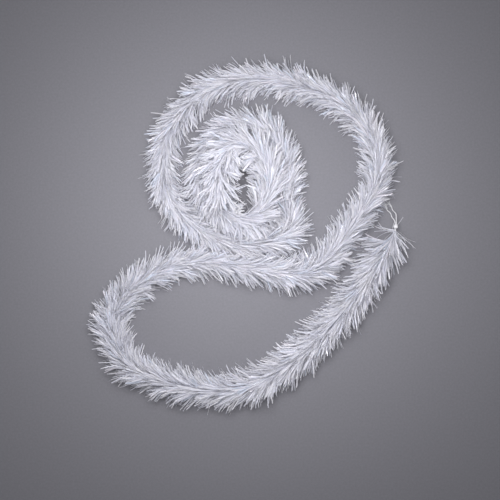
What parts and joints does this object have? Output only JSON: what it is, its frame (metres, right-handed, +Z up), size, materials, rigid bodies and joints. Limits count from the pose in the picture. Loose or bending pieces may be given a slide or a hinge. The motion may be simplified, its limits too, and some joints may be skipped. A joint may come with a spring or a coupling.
{
  "type": "feather boa",
  "caption": "Long limp boa of glossy white film strips gripped by two core strands, laid flat in an open S that winds into a small coil.",
  "frame": {"origin": "on the surface that the boa lies on, under the middle of its bounding box", "axes": "+Z up from the surface; +Y along the longer side of the layout, towards the big loop; +X towards the side where the free end lies"},
  "size_m": [0.3705, 0.405, 0.0555],
  "materials": {
    "white_film": "thin glossy milky white film cut into narrow strips",
    "clear_film": "clear glossy film strips with a faint pearly glint",
    "core_thread": "twisted white polyester thread",
    "tie_thread": "white thread wound tight round the core"
  },
  "bodies": {
    "root": {"core_strand_a": "core_thread", "core_strand_b": "core_thread", "end_tie_outer": "tie_thread", "end_tie_inner": "tie_thread", "tail_fringe_1": "white_film", "tail_fringe_2": "white_film", "tail_fringe_3": "white_film", "tail_fringe_4": "white_film", "lower_loop_fringe_1": "white_film", "lower_loop_fringe_2": "white_film", "lower_loop_fringe_3": "white_film", "lower_loop_fringe_4": "white_film", "lower_loop_fringe_5": "white_film", "middle_fringe_1": "white_film", "middle_fringe_2": "white_film", "middle_fringe_3": "white_film", "outer_loop_fringe_1": "white_film", "outer_loop_fringe_2": "white_film", "outer_loop_fringe_3": "white_film", "outer_loop_fringe_4": "white_film", "outer_loop_fringe_5": "white_film", "outer_loop_fringe_6": "white_film", "outer_loop_fringe_7": "white_film", "outer_loop_fringe_8": "white_film", "lower_coil_fringe_1": "white_film", "lower_coil_fringe_2": "white_film", "lower_coil_fringe_3": "white_film", "lower_coil_fringe_4": "white_film", "lower_coil_fringe_5": "white_film", "upper_coil_fringe_1": "white_film", "upper_coil_fringe_2": "white_film", "upper_coil_fringe_3": "white_film", "upper_coil_fringe_4": "white_film", "upper_coil_fringe_5": "white_film"}
  },
  "joints": []
}
